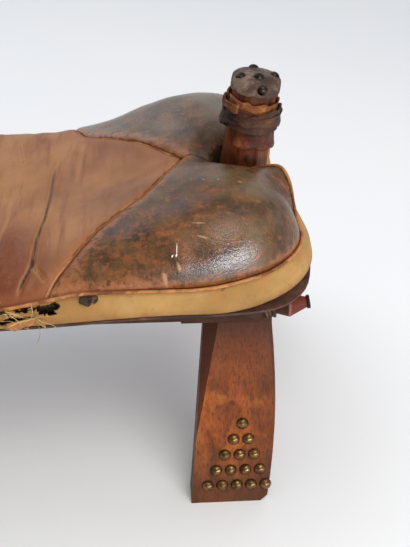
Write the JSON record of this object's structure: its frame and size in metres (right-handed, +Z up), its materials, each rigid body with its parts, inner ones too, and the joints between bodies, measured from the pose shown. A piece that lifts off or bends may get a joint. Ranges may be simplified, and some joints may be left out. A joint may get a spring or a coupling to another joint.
{
  "type": "camel saddle stool",
  "caption": "Low stool on two arched wooden end frames with leaning posts, and a loose stuffed leather saddle cushion notched round the posts.",
  "frame": {"origin": "on the floor, under the centre of the stool", "axes": "+X along the stool towards the right post, -Y towards the front, +Z up"},
  "size_m": [0.686, 0.4352, 0.4443],
  "materials": {
    "leg_wood": "waxed, worn",
    "post_wood": "waxed, worn",
    "rail_wood": "waxed, dark",
    "peg_wood": "bare",
    "brass_tack": "aged",
    "dark_tack": "tarnished",
    "nail_iron": "dull",
    "rawhide": "dry",
    "cap_leather": "worn",
    "strap_leather": "worn",
    "end_leather": "polished by use",
    "middle_leather": "satin",
    "band_leather": "suede",
    "underside_leather": "dull",
    "welt_leather": "satin",
    "stuffing": "coarse"
  },
  "bodies": {
    "frame": {"leg_front_right": "leg_wood", "tacks_front_right": "brass_tack", "leg_front_left": "leg_wood", "tacks_front_left": "brass_tack", "leg_back_right": "leg_wood", "tacks_back_right": "brass_tack", "leg_back_left": "leg_wood", "tacks_back_left": "brass_tack", "post_right": "post_wood", "post_key_right": "peg_wood", "post_cap_right": "cap_leather", "cap_tacks_right": "dark_tack", "post_strap_right": "strap_leather", "strap_nail_right": "nail_iron", "post_left": "post_wood", "post_key_left": "peg_wood", "post_cap_left": "cap_leather", "cap_tacks_left": "dark_tack", "post_strap_left": "strap_leather", "strap_nail_left": "nail_iron", "front_rail": "rail_wood", "back_rail": "rail_wood", "rail_dowels": "peg_wood", "rail_lashings": "rawhide"},
    "cushion": {"cushion_pad": "stuffing", "top_middle_panel": "middle_leather", "side_band": "band_leather", "underside_panel": "underside_leather", "edge_welt": "welt_leather", "top_front_right_panel": "end_leather", "top_front_left_panel": "end_leather", "top_back_right_panel": "end_leather", "top_back_left_panel": "end_leather"}
  },
  "joints": [
    {"name": "cushion_lift", "type": "slide", "parent": "frame", "child": "cushion", "axis": [0, 0, 1], "range_m": [0, 0.24]}
  ]
}
